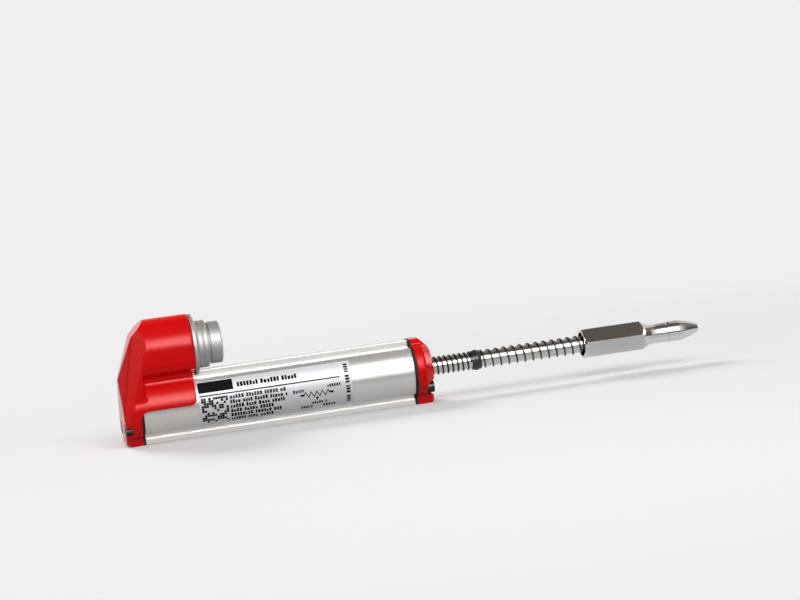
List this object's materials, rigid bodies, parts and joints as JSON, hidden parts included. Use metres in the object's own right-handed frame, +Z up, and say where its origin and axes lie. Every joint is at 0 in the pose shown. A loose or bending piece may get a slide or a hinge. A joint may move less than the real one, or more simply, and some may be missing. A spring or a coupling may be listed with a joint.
{
  "type": "linear potentiometer",
  "caption": "Rod-type linear position transducer with return springs: extruded body, red end caps, round connector on a raised turret, sprung rod with a hexagonal tip.",
  "frame": {"origin": "middle of the body's foot, on its underside", "axes": "+X along the rod towards the tip, +Z up from the foot, +Y to the side without the label"},
  "size_m": [0.2303, 0.0254, 0.0469],
  "materials": {
    "body_aluminium": "satin anodised, drawn lengthwise",
    "cap_red": "satin-gloss moulded plastic",
    "gasket_black": "matt",
    "screw_black": "black oxide",
    "label_silver": "satin printed film",
    "connector_metal": "satin nickel plated",
    "insert_black": "matt",
    "contact_gold": "plated",
    "board_green": "satin",
    "track_carbon": "satin",
    "track_silver": "satin",
    "lead_brown": "satin",
    "lead_yellow": "satin",
    "lead_blue": "satin",
    "plastic_white": "matt",
    "buffer_black": "matt",
    "bush_bronze": "sintered bronze, matt",
    "washer_steel": "satin",
    "wiper_bronze": "satin",
    "rod_steel": "ground and polished",
    "clip_steel": "dark phosphated",
    "spring_dark": "drawn wire, dark",
    "spring_steel": "drawn wire, bright",
    "ring_black": "satin",
    "tip_chrome": "polished"
  },
  "bodies": {
    "housing": {"body_extrusion": "body_aluminium", "rear_cap": "cap_red", "front_cap": "cap_red", "rear_gasket": "gasket_black", "front_gasket": "gasket_black", "rear_cap_screws": "screw_black", "front_cap_screws": "screw_black", "label": "label_silver", "connector_shell": "connector_metal", "connector_bezel": "connector_metal", "connector_nut": "connector_metal", "bezel_seal": "gasket_black", "connector_insert": "insert_black", "connector_pins": "contact_gold", "track_board": "board_green", "resistance_track": "track_carbon", "collector_track": "track_silver", "track_terminals": "contact_gold", "lead_brown": "lead_brown", "lead_yellow": "lead_yellow", "lead_blue": "lead_blue", "end_stop": "plastic_white", "rear_buffer": "buffer_black", "front_buffer": "buffer_black", "rod_bush": "bush_bronze", "rod_seal": "buffer_black", "spring_seat": "washer_steel", "rear_spring": "spring_dark"},
    "carriage": {"carriage": "plastic_white", "wiper_spring": "wiper_bronze", "wiper_contacts": "contact_gold"},
    "rod": {"rod": "rod_steel", "rod_clips": "clip_steel", "front_spring": "spring_steel", "hex_sleeve": "tip_chrome", "tip_nose": "tip_chrome"},
    "spring_ring": {"spring_ring": "ring_black"}
  },
  "joints": [
    {"name": "rod_slide", "type": "slide", "parent": "housing", "child": "carriage", "axis": [1, 0, 0], "range_m": [-0.05, 0], "stiffness_N_per_m": 40, "springref_m": 0.05, "deforming": ["rear_spring", "front_spring"]},
    {"name": "rod_turn", "type": "hinge", "parent": "carriage", "child": "rod", "pos_m": [0.03, 0, 0.0132], "axis": [1, 0, 0], "continuous": true},
    {"name": "ring_slide", "type": "slide", "parent": "housing", "child": "spring_ring", "axis": [1, 0, 0], "range_m": [-0.0086, 0]}
  ],
  "couplings": [
    {"joint": "ring_slide", "follows": "rod_slide", "ratio": 0.17}
  ]
}
